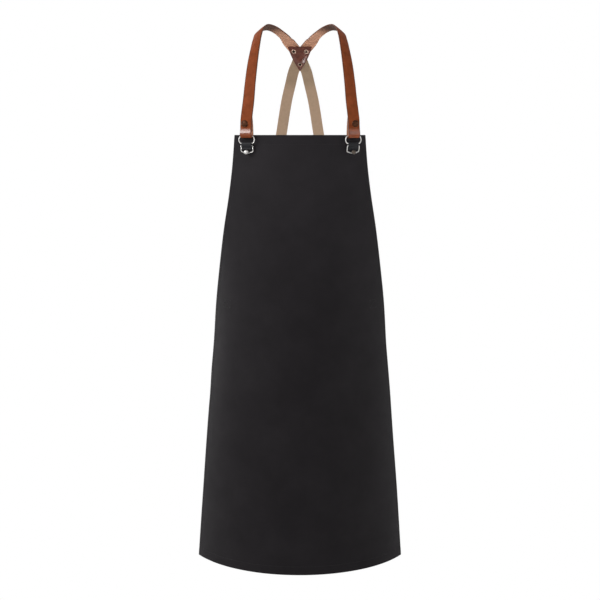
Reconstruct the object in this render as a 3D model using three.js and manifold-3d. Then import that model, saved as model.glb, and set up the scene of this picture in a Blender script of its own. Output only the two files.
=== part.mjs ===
// A bib apron in the shape that it has when worn: one A-line panel curved round the body, hung by
// ring clips on two leather shoulder straps. The straps meet at a riveted patch between the shoulder
// blades, and two cotton straps run from the patch down and round to the sides of the waist.
//
// Millimetres, +Z up. The front faces -Y, and left and right are as seen from the front. The origin
// is midway between the shoulders, level with the undersides of the straps where they pass over.

import * as THREE from 'three';
import { mergeVertices } from 'three/addons/utils/BufferGeometryUtils.js';
import Module from 'manifold-3d';

const wasm = await Module();
wasm.setup();

// Driving sizes, in millimetres and degrees
const SIDES = [['left', -1], ['right', 1]];
const GAP = 0.3; // clearance between pieces that touch
const BIB_DROP = 218; // from the shoulders down to the bib's top edge
const CHEST_OUT = 118; // from the shoulders forward to the middle of that edge
const PANEL_LENGTH = 900;
const PANEL_WALL = 1.6;
const STRAP_WALL = 2.2;
const STRAP_WIDTH = 24;
const BACK_STRAP_WIDTH = 23;
const WIRE_SIDES = 8;
const LATHE_SIDES = 18;
const CURVE_STEPS = 4;
const STRAP_STEP = 10;
const BACK_STRAP_STEP = 14;
const THROUGH = 40; // length of a pin that cuts right through any piece

// The panel, a row for each level: half its width from the front, how far it turns round the body
// on each side, and how far its middle stands out in front of the bib's top edge.
const PANEL_SECTIONS = [
  { drop: 0, halfWidth: 130.5, wrap: 26, bulge: 0 },
  { drop: 60, halfWidth: 135.5, wrap: 31, bulge: 2.5 },
  { drop: 120, halfWidth: 143.5, wrap: 37, bulge: 6 },
  { drop: 190, halfWidth: 155, wrap: 44, bulge: 8 },
  { drop: 270, halfWidth: 166, wrap: 51, bulge: 6 },
  { drop: 340, halfWidth: 174, wrap: 55, bulge: 5 },
  { drop: 430, halfWidth: 180.5, wrap: 58, bulge: 9 },
  { drop: 540, halfWidth: 190, wrap: 59, bulge: 14 },
  { drop: 660, halfWidth: 200, wrap: 59, bulge: 12 },
  { drop: 780, halfWidth: 210, wrap: 60, bulge: 8 },
  { drop: PANEL_LENGTH, halfWidth: 219, wrap: 60, bulge: 5 },
];

// Soft folds: where the middle of each is, how it slants, its reach and its rise out of the panel.
const PANEL_FOLDS = [
  { name: 'left hip dent', across: -0.5, drop: 575, slant: 68, reach: 95, halfWidth: 32, rise: -3 },
  { name: 'left hip swell', across: -0.58, drop: 505, slant: 74, reach: 80, halfWidth: 34, rise: 2 },
  { name: 'right hip dimple', across: 0.62, drop: 470, slant: -58, reach: 60, halfWidth: 26, rise: -2.5 },
  { name: 'left clip pull', across: -0.72, drop: 105, slant: 14, reach: 60, halfWidth: 20, rise: 1.5 },
  { name: 'right clip pull', across: 0.72, drop: 105, slant: -14, reach: 60, halfWidth: 20, rise: 1.5 },
];
const PANEL_COLUMNS = 24;
const PANEL_ROWS = 40;

// The clips that carry the panel: a hexagonal ring in the strap's fold, a short tab, a square loop
// and a ball stud in the panel. Depths are out from the panel, levels are from the bib's top edge.
const CLIP_ACROSS = 0.781;
const BAR_OUT = 6.4;
const RING = { wire: 2, topLevel: -2.4, height: 14.2, halfBar: 14, halfWaist: 17.2, corner: 2.6 };
const LOOP = { wire: 1.8, topLevel: -21.2, halfWidth: 12.5, sideHeight: 11.8, dip: 3.8, tilt: 12, corner: 1.5 };
const TAB = { width: 21.5, endLevel: -28.4, wall: 1.3, endHalf: 1.5, closeBelow: 3.9 };
const STUD = { level: -33.8, ballRadius: 4.4, ballOut: 9, neckRadius: 1.2, plateRadius: 5, plateBack: 2.5 };
const SNAP = { level: 22, outward: 2, capRadius: 7, capHeight: 2.4, barrelRadius: 1.8, socketRadius: 5 };

// The strap's folded end, from the tail's tip down behind, round under the ring's bar and up in front:
// how far each place lies in front of the bar and towards the middle. The snap keeps the layers apart.
const LAYER_OUT = 3.6;
const TAIL_ROWS = [
  { level: 35, out: -LAYER_OUT, inward: -1.2 },
  { level: 24, out: -LAYER_OUT, inward: -0.2 },
  { level: 13, out: -LAYER_OUT, inward: 0.4 },
];
const BEND = { height: 4.2, back: 4.4, front: 6.2, inward: 0.3 };
const FRONT_ROWS = [
  { level: 3, out: 6.3, inward: 0.3 },
  { level: 8, out: 5, inward: 0.3 },
  { level: 14.5, out: LAYER_OUT, inward: 0.4 },
  { level: 30, out: LAYER_OUT, inward: 1 },
  { level: 40, out: 2.6, inward: 1.8 },
];

// The shoulder strap above its clip: out from the middle, back from the shoulders, and above the
// bib's top edge. heading and lean say where its outer face looks, round from the front and up.
const SHOULDER_ROUTE = [
  { x: 101.6, y: -105, rise: 66, heading: 22, lean: 6 },
  { x: 98.7, y: -93, rise: 101, heading: 28, lean: 15.5 },
  { x: 94.1, y: -75, rise: 143.5, heading: 36, lean: 25 },
  { x: 89.5, y: -55, rise: 175.5, heading: 50, lean: 36 },
  { x: 86, y: -35, rise: 196, heading: 60, lean: 41 },
  { x: 81.4, y: -15, rise: 210.4, heading: 70, lean: 46 },
  { x: 71.4, y: 5, rise: 217.6, heading: 117, lean: 59 },
  { x: 54.8, y: 27, rise: 217, heading: 137, lean: 79 },
  { x: 33.5, y: 50, rise: 203.8, heading: 200, lean: 74 },
];

// The patch hangs in a plane that leans with the upper back. Places on it are across and up from its
// middle, and the straps end behind it, the shoulder straps next to it and the back straps behind.
const PATCH = { rise: 163, back: 94, lean: 34, wall: 2, halfTop: 26, top: 26.2, tip: -33.4, belly: 2.2 };
const PATCH_CORNER = 3;
const SHOULDER_END = [{ across: 23.3, up: 35 }, { across: 11.5, up: 19 }, { across: -3.5, up: -2.5 }];
const BACK_START = [{ across: 3, up: -6.5 }, { across: 6.5, up: -17 }, { across: 13.5, up: -36 }];
const SEAM_HALF = 0.4; // half the gap between left and right straps at the middle of the back

// Hollow rivets through the patch and the straps: a rolled rim in front and a closed head behind.
const RIVETS = [{ across: -13.1, up: 15.3 }, { across: 13.1, up: 14.8 }, { across: 0, up: -15.8 }];
const RIVET = { bore: 2.1, barrel: 2.9, rim: 5.2, rimWall: 1, head: 4.8, headRise: 1.8 };

// The back strap below the patch, to its sewn end inside the panel's side edge at the waist.
const BACK_ROUTE = [
  { x: 21, y: 126, rise: 106, heading: 179, lean: 16 },
  { x: 28.4, y: 130.5, rise: 75, heading: 178, lean: 5 },
  { x: 40.6, y: 132, rise: 1, heading: 176, lean: 0 },
  { x: 54, y: 132, rise: -75, heading: 172, lean: 0 },
  { x: 77, y: 129, rise: -150, heading: 164, lean: 0 },
  { x: 108, y: 119, rise: -216, heading: 150, lean: 0 },
  { x: 139, y: 99, rise: -269, heading: 132, lean: 0 },
  { x: 160, y: 71, rise: -305, heading: 112, lean: 0 },
  { x: 169, y: 36, rise: -327, heading: 95, lean: 0 },
  { x: 169, y: 2, rise: -338, heading: 82, lean: 0 },
];
const WAIST_DROP = 343;
const SEWN_END = [{ across: 0.9 }, { across: 0.84 }, { across: 0.75 }];

// Finishes
function finish(color, roughness, metalness) {
  return new THREE.MeshStandardMaterial({ color, roughness, metalness });
}
const BLACK_TWILL = finish(0x272427, 0.85, 0);
const TAN_LEATHER = finish(0x874829, 0.5, 0);
const BEIGE_WEBBING = finish(0x9d8771, 0.85, 0);
const BROWN_LEATHER = finish(0x633c32, 0.35, 0);
const BLACK_LEATHER = finish(0x2a2a2e, 0.55, 0);
const NICKEL = finish(0xc2c2c4, 0.25, 1);
const DARK_BRASS = finish(0x503126, 0.4, 1);
const AGED_COPPER = finish(0x8a6a5a, 0.35, 1);

const radians = THREE.MathUtils.degToRad;
const RIGHT = new THREE.Vector3(1, 0, 0);
const BACK = new THREE.Vector3(0, 1, 0);
const FRONT = new THREE.Vector3(0, -1, 0);
const UP = new THREE.Vector3(0, 0, 1);

// Mesh tools

// Turns the faces of a closed triangle list outwards.
function outward(positions, triangles) {
  let volume = 0;
  for (const [a, b, c] of triangles) {
    volume += positions[a].dot(positions[b].clone().cross(positions[c]));
  }
  const index = triangles.flatMap(([a, b, c]) => (volume < 0 ? [a, c, b] : [a, b, c]));
  const geometry = new THREE.BufferGeometry().setFromPoints(positions);
  geometry.setIndex(index);
  return geometry;
}

// A wall between two grids of points of the same size, closed round its rim.
function wall(outer, inner) {
  const rows = outer.length;
  const columns = outer[0].length;
  const positions = [...outer.flat(), ...inner.flat()];
  const triangles = [];
  const quad = (a, b, c, d) => triangles.push([a, b, c], [a, c, d]);
  const out = (row, column) => row * columns + column;
  const inn = (row, column) => rows * columns + row * columns + column;
  for (let row = 0; row < rows - 1; row += 1) {
    for (let column = 0; column < columns - 1; column += 1) {
      quad(out(row, column), out(row + 1, column), out(row + 1, column + 1), out(row, column + 1));
      quad(inn(row, column), inn(row, column + 1), inn(row + 1, column + 1), inn(row + 1, column));
    }
    quad(out(row, 0), inn(row, 0), inn(row + 1, 0), out(row + 1, 0));
    quad(out(row, columns - 1), out(row + 1, columns - 1), inn(row + 1, columns - 1), inn(row, columns - 1));
  }
  for (let column = 0; column < columns - 1; column += 1) {
    quad(out(0, column), out(0, column + 1), inn(0, column + 1), inn(0, column));
    quad(out(rows - 1, column), inn(rows - 1, column), inn(rows - 1, column + 1), out(rows - 1, column + 1));
  }
  return outward(positions, triangles);
}

// Round wire bent along a closed path of points in the XZ plane.
function wireLoop(path, radius) {
  const positions = [];
  const triangles = [];
  const count = path.length;
  path.forEach((point, i) => {
    const before = path[(i + count - 1) % count];
    const after = path[(i + 1) % count];
    const side = new THREE.Vector2().subVectors(after, before).normalize();
    for (let j = 0; j < WIRE_SIDES; j += 1) {
      const turn = (2 * Math.PI * j) / WIRE_SIDES;
      const reach = radius * Math.cos(turn);
      positions.push(new THREE.Vector3(
        point.x - side.y * reach, radius * Math.sin(turn), point.y + side.x * reach));
      const next = ((i + 1) % count) * WIRE_SIDES;
      const a = i * WIRE_SIDES + j;
      const b = i * WIRE_SIDES + ((j + 1) % WIRE_SIDES);
      const c = next + ((j + 1) % WIRE_SIDES);
      const d = next + j;
      triangles.push([a, b, c], [a, c, d]);
    }
  });
  return outward(positions, triangles);
}

// A closed path through corners, each rounded by cutting back along its two sides.
function roundedCorners(corners, cutBack, steps) {
  const points = [];
  corners.forEach((corner, i) => {
    const before = corners[(i + corners.length - 1) % corners.length];
    const after = corners[(i + 1) % corners.length];
    const towards = (other) => corner.clone().add(other.clone().sub(corner).setLength(cutBack));
    const bend = new THREE.QuadraticBezierCurve(towards(before), corner, towards(after));
    points.push(...bend.getPoints(steps));
  });
  return points;
}

function solidOf(geometry) {
  const bare = geometry.clone();
  bare.deleteAttribute('normal');
  bare.deleteAttribute('uv');
  const merged = mergeVertices(bare);
  return new wasm.Manifold(new wasm.Mesh({
    numProp: 3,
    vertProperties: new Float32Array(merged.attributes.position.array),
    triVerts: new Uint32Array(merged.index.array),
  }));
}

function cut(geometry, tools) {
  const left = tools.reduce((solid, tool) => solid.subtract(solidOf(tool)), solidOf(geometry));
  const mesh = left.getMesh();
  const result = new THREE.BufferGeometry();
  result.setAttribute('position', new THREE.BufferAttribute(new Float32Array(mesh.vertProperties), 3));
  result.setIndex(new THREE.BufferAttribute(new Uint32Array(mesh.triVerts), 1));
  return result;
}

// A pin along Y that cuts a hole right through, and a body turned round Y from [radius, y] pairs.
const pin = (radius) => new THREE.CylinderGeometry(radius, radius, THROUGH, LATHE_SIDES);
function turned(profile) {
  return new THREE.LatheGeometry(profile.map(([radius, y]) => new THREE.Vector2(radius, y)), LATHE_SIDES);
}

// A flat shape given a thickness, with its axes laid along the three that are named.
function extruded(shape, thickness, across, up, through) {
  const geometry = new THREE.ExtrudeGeometry(
    shape, { depth: thickness, bevelEnabled: false, curveSegments: CURVE_STEPS });
  return geometry.applyMatrix4(new THREE.Matrix4().makeBasis(across, up, through));
}

// Smooth values between the rows of a table, at a place along it.
function smoothTable(places, rows) {
  const spline = new THREE.CubicInterpolant(places, rows.flat(), rows[0].length);
  return (place) => Array.from(spline.evaluate(place));
}

// The panel

const sectionAt = smoothTable(
  PANEL_SECTIONS.map((row) => row.drop),
  PANEL_SECTIONS.map((row) => [row.halfWidth, row.wrap, row.bulge]),
);

function foldRise(along, drop) {
  return PANEL_FOLDS.reduce((total, fold) => {
    const dx = along - fold.across * sectionArc(fold.drop);
    const dz = drop - fold.drop;
    const slant = radians(fold.slant);
    const lengthwise = (dz * Math.cos(slant) + dx * Math.sin(slant)) / fold.reach;
    const crosswise = (dx * Math.cos(slant) - dz * Math.sin(slant)) / fold.halfWidth;
    return total + fold.rise * Math.exp(-(lengthwise ** 2) - crosswise ** 2);
  }, 0);
}

// Half the cloth's width at a level, measured round the curve.
function sectionArc(drop) {
  const [halfWidth, wrap] = sectionAt(drop);
  return (halfWidth / Math.sin(radians(wrap))) * radians(wrap);
}

// A point of the panel: across runs from -1 to 1 between its side edges, depth goes into the wall.
function panelPoint(across, drop, depth = 0) {
  const [halfWidth, wrap, bulge] = sectionAt(drop);
  const bend = halfWidth / Math.sin(radians(wrap));
  const turn = across * radians(wrap);
  const reach = bend + foldRise(across * sectionArc(drop), drop) - depth;
  return new THREE.Vector3(
    reach * Math.sin(turn), bend - CHEST_OUT - bulge - reach * Math.cos(turn), -BIB_DROP - drop);
}

function panelFace(depth) {
  return Array.from({ length: PANEL_ROWS + 1 }, (_, row) =>
    Array.from({ length: PANEL_COLUMNS + 1 }, (__, column) =>
      panelPoint((2 * column) / PANEL_COLUMNS - 1, (PANEL_LENGTH * row) / PANEL_ROWS, depth)));
}

// Straps

const CLIP_TURN = radians(CLIP_ACROSS * PANEL_SECTIONS[0].wrap);

// The clip's own frame: on the panel's face at the bib's top edge, -Y straight out of the cloth.
function clipFrame(side) {
  const frame = new THREE.Group();
  frame.position.copy(panelPoint(side * CLIP_ACROSS, 0));
  frame.rotation.z = side * CLIP_TURN;
  frame.updateMatrix();
  return frame;
}

// Rows of the strap's folded end.
function foldRows(side) {
  const frame = clipFrame(side);
  const { height, back, front, inward } = BEND;
  const bendLevel = RING.topLevel - RING.wire / 2 - GAP - STRAP_WALL / 2 + height;
  const heading = THREE.MathUtils.radToDeg(CLIP_TURN);
  const row = (place, lean) => {
    const spot = new THREE.Vector3(-side * place.inward, -BAR_OUT - place.out, place.level);
    return { point: spot.applyMatrix4(frame.matrix), heading, lean, width: STRAP_WIDTH };
  };
  const rows = TAIL_ROWS.map((place) => row(place, -180));
  for (let lean = -180; lean <= 0; lean += 30) {
    const turn = radians(lean);
    const reach = lean < -90 ? back : front;
    rows.push(row({ level: bendLevel + height * Math.sin(turn), out: reach * Math.cos(turn), inward }, lean));
  }
  return [...rows, ...FRONT_ROWS.map((place) => row(place, 0))];
}

// Rows of a route table, mirrored to a side.
function routeRows(route, side, width) {
  return route.map(({ x, y, rise, heading, lean }) => (
    { point: new THREE.Vector3(side * x, y, rise - BIB_DROP), heading, lean, width }));
}

// The patch's own frame: its front face looks along -Y, and Z runs up the patch.
function patchFrame() {
  const frame = new THREE.Group();
  frame.position.set(0, PATCH.back, PATCH.rise - BIB_DROP);
  frame.rotation.x = radians(PATCH.lean);
  frame.updateMatrix();
  return frame;
}

// Rows of a strap that lies behind the patch, so many walls behind it.
function patchRows(places, side, width, layer) {
  const { matrix } = patchFrame();
  const behind = GAP + STRAP_WALL / 2 + layer * (STRAP_WALL + GAP);
  return places.map(({ across, up }) => {
    const point = new THREE.Vector3(side * across, behind, up).applyMatrix4(matrix);
    return { point, heading: 180, lean: PATCH.lean, width };
  });
}

// Rows of the back strap's end, flat inside the panel's side.
function sewnRows(side) {
  const [, wrap] = sectionAt(WAIST_DROP);
  const inside = PANEL_WALL + GAP + STRAP_WALL / 2;
  return SEWN_END.map(({ across }) => {
    const point = panelPoint(side * across, WAIST_DROP, inside);
    return { point, heading: across * wrap, lean: 0, width: BACK_STRAP_WIDTH };
  });
}

// A flat strap swept along its rows, its face turned as they say.
function strap(rows, side, step) {
  const places = [0];
  for (let i = 1; i < rows.length; i += 1) {
    places.push(places[i - 1] + rows[i].point.distanceTo(rows[i - 1].point));
  }
  const at = smoothTable(
    places, rows.map(({ point, heading, lean, width }) => [...point, heading, lean, width]));
  const stations = [];
  for (let i = 1; i < rows.length; i += 1) {
    const pieces = Math.max(1, Math.round((places[i] - places[i - 1]) / step));
    for (let k = 0; k < pieces; k += 1) {
      stations.push(places[i - 1] + ((places[i] - places[i - 1]) * k) / pieces);
    }
  }
  stations.push(places.at(-1));
  const values = stations.map(at);
  const points = values.map((value) => new THREE.Vector3(...value));
  const outer = [];
  const inner = [];
  points.forEach((point, i) => {
    const [, , , heading, lean, width] = values[i];
    const before = points[Math.max(i - 1, 0)];
    const after = points[Math.min(i + 1, points.length - 1)];
    const along = new THREE.Vector3().subVectors(after, before).normalize();
    const turn = radians(heading);
    const level = Math.cos(radians(lean));
    const face = new THREE.Vector3(
      side * Math.sin(turn) * level, -Math.cos(turn) * level, Math.sin(radians(lean)));
    face.addScaledVector(along, -face.dot(along)).normalize();
    const across = new THREE.Vector3().crossVectors(along, face).multiplyScalar(width / 2);
    face.multiplyScalar(STRAP_WALL / 2);
    const edge = (sign, facing) => point.clone().addScaledVector(across, sign).addScaledVector(face, facing);
    outer.push([edge(-1, 1), edge(1, 1)]);
    inner.push([edge(-1, -1), edge(1, -1)]);
  });
  return wall(outer, inner);
}

// What lies past the seam at the middle of the back, to trim a strap's end there.
function pastTheSeam(side) {
  const reach = 60;
  const block = new THREE.BoxGeometry(reach, reach * 2, reach * 3);
  return block.translate(side * (SEAM_HALF - reach / 2), PATCH.back, PATCH.rise - BIB_DROP);
}

// Pins for the rivets' barrels, in the patch's frame.
function rivetPins() {
  return RIVETS.map(({ across, up }) => pin(RIVET.barrel + GAP).translate(across, 0, up));
}

// The same pins in the part's own frame, where they go through the straps.
function strapRivetPins() {
  const { matrix } = patchFrame();
  return rivetPins().map((geometry) => geometry.applyMatrix4(matrix));
}

// Where the snap passes through both layers of a strap's end.
function snapPin(side) {
  return pin(SNAP.barrelRadius + GAP).translate(side * SNAP.outward, -BAR_OUT, SNAP.level)
    .applyMatrix4(clipFrame(side).matrix);
}

function shoulderStrap(side) {
  const rows = [
    ...foldRows(side),
    ...routeRows(SHOULDER_ROUTE, side, STRAP_WIDTH),
    ...patchRows(SHOULDER_END, side, STRAP_WIDTH, 0),
  ];
  const [leftPin, rightPin] = strapRivetPins();
  return cut(strap(rows, side, STRAP_STEP), [pastTheSeam(side), snapPin(side), leftPin, rightPin]);
}

function backStrap(side) {
  const rows = [
    ...patchRows(BACK_START, side, BACK_STRAP_WIDTH, 1),
    ...routeRows(BACK_ROUTE, side, BACK_STRAP_WIDTH),
    ...sewnRows(side),
  ];
  const [, , lowerPin] = strapRivetPins();
  return cut(strap(rows, side, BACK_STRAP_STEP), [pastTheSeam(side), lowerPin]);
}

// Metalwork, in the clip's frame

function ringGeometry() {
  const middle = RING.height / 2;
  const corners = [
    [-RING.halfBar, middle], [RING.halfBar, middle], [RING.halfWaist, 0],
    [RING.halfBar, -middle], [-RING.halfBar, -middle], [-RING.halfWaist, 0],
  ].map(([x, z]) => new THREE.Vector2(x, z));
  return wireLoop(roundedCorners(corners, RING.corner, CURVE_STEPS), RING.wire / 2)
    .translate(0, -BAR_OUT, RING.topLevel - middle);
}

// The square loop hangs from its top bar and tilts in, so that its dipped lower bar passes behind
// the stud's ball and under its neck.
function loopGeometry() {
  const { halfWidth, sideHeight, dip } = LOOP;
  const corners = [
    [-halfWidth, 0], [halfWidth, 0], [halfWidth, -sideHeight],
    [0, -sideHeight - dip], [-halfWidth, -sideHeight],
  ].map(([x, z]) => new THREE.Vector2(x, z));
  return wireLoop(roundedCorners(corners, LOOP.corner, CURVE_STEPS), LOOP.wire / 2)
    .rotateX(radians(LOOP.tilt))
    .translate(0, -BAR_OUT, LOOP.topLevel);
}

// A folded leather tab: round the ring's lower bar above and the loop's top bar below.
function tabGeometry() {
  const ringLevel = RING.topLevel - RING.height;
  const ringHole = RING.wire / 2 + GAP;
  const loopHole = LOOP.wire / 2 + GAP;
  const half = ringHole + TAB.wall;
  const closeLevel = LOOP.topLevel - TAB.closeBelow;
  const outline = new THREE.Shape();
  outline.absarc(0, ringLevel, half, 0, Math.PI);
  outline.lineTo(-half, LOOP.topLevel);
  outline.quadraticCurveTo(-half, LOOP.topLevel - half, -TAB.endHalf, closeLevel);
  outline.lineTo(-TAB.endHalf, TAB.endLevel);
  outline.lineTo(TAB.endHalf, TAB.endLevel);
  outline.lineTo(TAB.endHalf, closeLevel);
  outline.quadraticCurveTo(half, LOOP.topLevel - half, half, LOOP.topLevel);
  outline.holes.push(new THREE.Path().absarc(0, ringLevel, ringHole, 0, 2 * Math.PI));
  outline.holes.push(new THREE.Path().absarc(0, LOOP.topLevel, loopHole, 0, 2 * Math.PI));
  return extruded(outline, TAB.width, BACK, UP, RIGHT).translate(-TAB.width / 2, -BAR_OUT, 0);
}

// A ball on a neck that goes through the panel to a round plate inside.
function studGeometry() {
  const { ballRadius, ballOut, neckRadius, plateRadius, plateBack } = STUD;
  const plateWall = 1.2;
  const profile = [];
  const neckTurn = Math.PI - Math.asin(neckRadius / ballRadius);
  const steps = 8;
  for (let i = 0; i <= steps; i += 1) {
    const turn = (neckTurn * i) / steps;
    profile.push([ballRadius * Math.sin(turn), -ballOut - ballRadius * Math.cos(turn)]);
  }
  profile.push([neckRadius, plateBack], [plateRadius, plateBack], [plateRadius, plateBack + plateWall]);
  profile.push([0, plateBack + plateWall]);
  return turned(profile);
}

// A snap: domed cap in front, socket between the two layers of the strap, flat plate behind.
function snapGeometry() {
  const { capRadius, capHeight, barrelRadius, socketRadius } = SNAP;
  const between = LAYER_OUT - STRAP_WALL / 2 - GAP;
  const outside = LAYER_OUT + STRAP_WALL / 2 + GAP;
  const plateWall = 1.1;
  return turned([
    [0, -outside - capHeight],
    [0.6 * capRadius, -outside - 0.86 * capHeight],
    [0.9 * capRadius, -outside - 0.5 * capHeight],
    [capRadius, -outside],
    [barrelRadius, -outside],
    [barrelRadius, -between],
    [socketRadius, -between],
    [socketRadius, between],
    [barrelRadius, between],
    [barrelRadius, outside],
    [socketRadius, outside],
    [socketRadius, outside + plateWall],
    [0, outside + plateWall],
  ]);
}

// The patch and its rivets, in the patch's frame

function patchGeometry() {
  const { halfTop, top, tip, belly } = PATCH;
  const corners = [[-halfTop, top], [0, tip], [halfTop, top]].map(([x, z]) => new THREE.Vector2(x, z));
  const outline = new THREE.Shape();
  const near = (from, to) => from.clone().add(to.clone().sub(from).setLength(PATCH_CORNER));
  corners.forEach((corner, i) => {
    const before = corners[(i + 2) % 3];
    const after = corners[(i + 1) % 3];
    const start = near(corner, before);
    const end = near(corner, after);
    if (i === 0) {
      outline.moveTo(start.x, start.y);
    }
    outline.quadraticCurveTo(corner.x, corner.y, end.x, end.y);
    const next = near(after, corner);
    const swell = i === 2 ? 0 : Math.sign(i - 0.5) * belly * 2;
    outline.quadraticCurveTo((end.x + next.x) / 2 + swell, (end.y + next.y) / 2, next.x, next.y);
  });
  return cut(extruded(outline, PATCH.wall, RIGHT, UP, FRONT), rivetPins());
}

// A rivet from the patch's face to behind the last strap it holds.
function rivetGeometry(layers) {
  const { bore, barrel, rim, rimWall, head, headRise } = RIVET;
  const front = -PATCH.wall - GAP;
  const back = (layers + 1) * (STRAP_WALL + GAP) + GAP;
  return turned([
    [0, back],
    [bore, back],
    [bore, front - 0.6 * rimWall],
    [0.65 * rim, front - rimWall],
    [rim, front],
    [barrel, front],
    [barrel, back],
    [head, back],
    [0.7 * head, back + 0.75 * headRise],
    [0, back + headRise],
  ]);
}

// The assembly

const apron = new THREE.Group();

function add(parent, name, geometry, material) {
  const mesh = new THREE.Mesh(geometry, material);
  mesh.name = name;
  parent.add(mesh);
  return mesh;
}

const studPins = SIDES.map(([, side]) =>
  pin(STUD.neckRadius + GAP).translate(0, 0, STUD.level).applyMatrix4(clipFrame(side).matrix));
add(apron, 'apron_panel', cut(wall(panelFace(0), panelFace(PANEL_WALL)), studPins), BLACK_TWILL);

for (const [name, side] of SIDES) {
  add(apron, `shoulder_strap_${name}`, shoulderStrap(side), TAN_LEATHER);
  add(apron, `back_strap_${name}`, backStrap(side), BEIGE_WEBBING);

  const clip = clipFrame(side);
  apron.add(clip);
  add(clip, `strap_ring_${name}`, ringGeometry(), NICKEL);
  add(clip, `link_tab_${name}`, tabGeometry(), BLACK_LEATHER);
  add(clip, `hook_loop_${name}`, loopGeometry(), NICKEL);
  add(clip, `bib_stud_${name}`, studGeometry(), NICKEL).position.set(0, 0, STUD.level);
  add(clip, `strap_snap_${name}`, snapGeometry(), DARK_BRASS)
    .position.set(side * SNAP.outward, -BAR_OUT, SNAP.level);
}

const patch = patchFrame();
apron.add(patch);
add(patch, 'cross_patch', patchGeometry(), BROWN_LEATHER);
RIVETS.forEach(({ across, up }, i) => {
  const layers = across === 0 ? 1 : 0;
  add(patch, `patch_rivet_${i + 1}`, rivetGeometry(layers), AGED_COPPER).position.set(across, 0, up);
});

export default apron;
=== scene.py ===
"""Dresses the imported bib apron: cloth panel, leather and webbing straps, back patch and ring clips.

Laid out as an add-on. The tables are in millimetres and degrees, as the solids' are, and MM turns
them to metres. +Z is up, the front faces -Y, and left and right are as seen from the front.
"""

import math
from bisect import bisect_right
from collections import namedtuple
from functools import partial

import bpy
from bpy.props import FloatProperty, FloatVectorProperty, PointerProperty
from mathutils import Matrix, Vector, noise


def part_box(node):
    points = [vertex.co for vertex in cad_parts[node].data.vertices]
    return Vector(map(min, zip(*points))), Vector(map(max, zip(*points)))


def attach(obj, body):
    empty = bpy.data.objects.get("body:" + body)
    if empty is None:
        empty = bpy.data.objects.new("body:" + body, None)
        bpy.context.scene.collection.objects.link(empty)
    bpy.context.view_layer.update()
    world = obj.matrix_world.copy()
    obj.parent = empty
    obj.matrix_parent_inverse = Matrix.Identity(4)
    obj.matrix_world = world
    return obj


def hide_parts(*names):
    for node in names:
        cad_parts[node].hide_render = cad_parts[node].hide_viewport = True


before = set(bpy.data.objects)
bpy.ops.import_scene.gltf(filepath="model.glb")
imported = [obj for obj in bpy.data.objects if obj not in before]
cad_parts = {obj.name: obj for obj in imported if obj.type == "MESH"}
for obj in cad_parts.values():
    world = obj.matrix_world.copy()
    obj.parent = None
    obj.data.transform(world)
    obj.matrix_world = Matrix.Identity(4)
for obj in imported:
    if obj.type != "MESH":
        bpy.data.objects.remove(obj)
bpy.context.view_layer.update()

bl_info = {
    "name": "Bib Apron Dresser",
    "version": (1, 0, 0),
    "blender": (4, 5, 0),
    "location": "View3D > Sidebar > Apron",
    "description": "Models the cloth, straps, patch and clips of a bib apron round its packed solids",
    "category": "Object",
}

MM = 0.001
BODY = "root"
SIDES = (("left", -1), ("right", 1))
GAP = 0.3  # clearance between pieces that touch

# The panel, a row for each level: half its width from the front, how far it turns round the body on
# each side, and how far its middle stands out in front of the bib's top edge.
Section = namedtuple("Section", "drop half_width wrap bulge")
PANEL_LENGTH = 900
PANEL_SECTIONS = (
    Section(0, 130.5, 26, 0),
    Section(60, 135.5, 31, 2.5),
    Section(120, 143.5, 37, 6),
    Section(190, 155, 44, 8),
    Section(270, 166, 51, 6),
    Section(340, 174, 55, 5),
    Section(430, 180.5, 58, 9),
    Section(540, 190, 59, 14),
    Section(660, 200, 59, 12),
    Section(780, 210, 60, 8),
    Section(PANEL_LENGTH, 219, 60, 5),
)
BIB_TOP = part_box("apron_panel")[1].z / MM
CHEST_OUT = 118  # how far the bib's top edge stands in front of the origin

# Soft folds: where the middle of each is, how it slants, its reach and its rise out of the panel.
Fold = namedtuple("Fold", "across drop slant reach half_width rise")
LEFT_HIP_DENT = Fold(-0.5, 575, 68, 95, 32, -3)
LEFT_HIP_SWELL = Fold(-0.58, 505, 74, 80, 34, 2)
RIGHT_HIP_DIMPLE = Fold(0.62, 470, -58, 60, 26, -2.5)
LEFT_CLIP_PULL = Fold(-0.72, 105, 14, 60, 20, 1.5)
RIGHT_CLIP_PULL = Fold(0.72, 105, -14, 60, 20, 1.5)
PANEL_FOLDS = (LEFT_HIP_DENT, LEFT_HIP_SWELL, RIGHT_HIP_DIMPLE, LEFT_CLIP_PULL, RIGHT_CLIP_PULL)

# The clips: depths are out from the panel, levels are from the bib's top edge.
CLIP_ACROSS = 0.781
BAR_OUT = 6.4
Ring = namedtuple("Ring", "wire top_level height half_bar half_waist corner")
RING = Ring(2, -2.4, 14.2, 14, 17.2, 2.6)
Loop = namedtuple("Loop", "wire top_level half_width side_height dip tilt corner")
LOOP = Loop(1.8, -21.2, 12.5, 11.8, 3.8, 12, 1.5)
Tab = namedtuple("Tab", "width end_level wall close_below")
TAB = Tab(21.5, -28.4, 1.3, 3.9)
Stud = namedtuple("Stud", "level ball_radius ball_out neck_radius plate_radius plate_back plate_wall")
STUD = Stud(-33.8, 4.4, 9, 1.2, 5, 2.5, 1.2)
Snap = namedtuple("Snap", "level outward cap_radius cap_height barrel_radius socket_radius socket_wall")
SNAP = Snap(22, 2, 7, 2.4, 1.8, 5, 1.1)

STRAP_WALL = 2.2
STRAP_WIDTH = 24

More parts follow.
